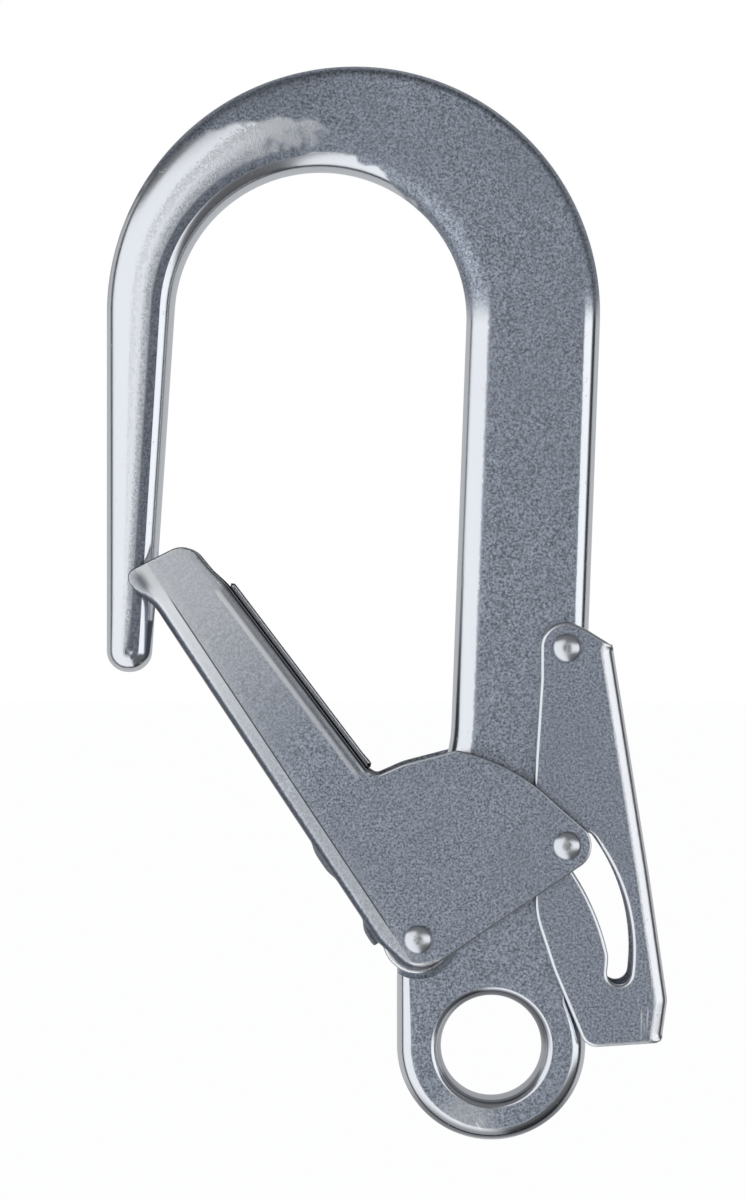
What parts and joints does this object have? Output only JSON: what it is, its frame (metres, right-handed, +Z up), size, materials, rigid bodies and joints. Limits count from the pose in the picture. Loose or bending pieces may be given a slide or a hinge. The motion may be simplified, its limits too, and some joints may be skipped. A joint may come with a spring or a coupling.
{
  "type": "scaffold snap hook",
  "caption": "Large double-action snap hook: forged steel hook with attachment eye, sprung sheet-steel gate opening inwards, and a squeeze lever that locks it.",
  "frame": {"origin": "middle of the inside of the arch, the point that a rail or tube bears on, half way through the thickness", "axes": "+Z up from the eye to the crown, along the hook's length; +X from the nose to the shank; -Y is the front face, and the pivots run along Y"},
  "size_m": [0.1146, 0.0206, 0.2199],
  "materials": {
    "forged_steel": "forged and tumbled zinc-plated steel, satin with a fine speckle, brighter on the rounded edges",
    "sheet_steel": "pressed sheet steel, satin, bright along its bends and cut edges",
    "rivet_steel": "domed rivet heads, polished by the riveting tool",
    "spring_steel": "drawn spring wire, smooth"
  },
  "bodies": {
    "root": {"hook_body": "forged_steel", "gate_pivot_rivet": "rivet_steel", "gate_washer_front": "rivet_steel", "gate_washer_back": "rivet_steel", "lever_pivot_rivet": "rivet_steel"},
    "gate": {"gate": "sheet_steel", "lock_pin": "rivet_steel", "gate_spring_front": "spring_steel", "gate_spring_back": "spring_steel"},
    "lever": {"lock_lever": "sheet_steel", "lever_spring": "spring_steel"}
  },
  "joints": [
    {"name": "gate_swing", "type": "hinge", "parent": "root", "child": "gate", "pos_m": [0.0201, 0, -0.1566], "axis": [0, 1, 0], "range_deg": [0, 42], "stiffness_Nm_per_rad": 0.2, "springref_deg": -28.65},
    {"name": "lever_squeeze", "type": "hinge", "parent": "root", "child": "lever", "pos_m": [0.0504, 0, -0.0975], "axis": [0, 1, 0], "range_deg": [0, 5.25], "stiffness_Nm_per_rad": 0.05, "springref_deg": -17.19}
  ],
  "couplings": [
    {"joint": "lever_squeeze", "follows": "gate_swing", "ratio": 0.125}
  ]
}
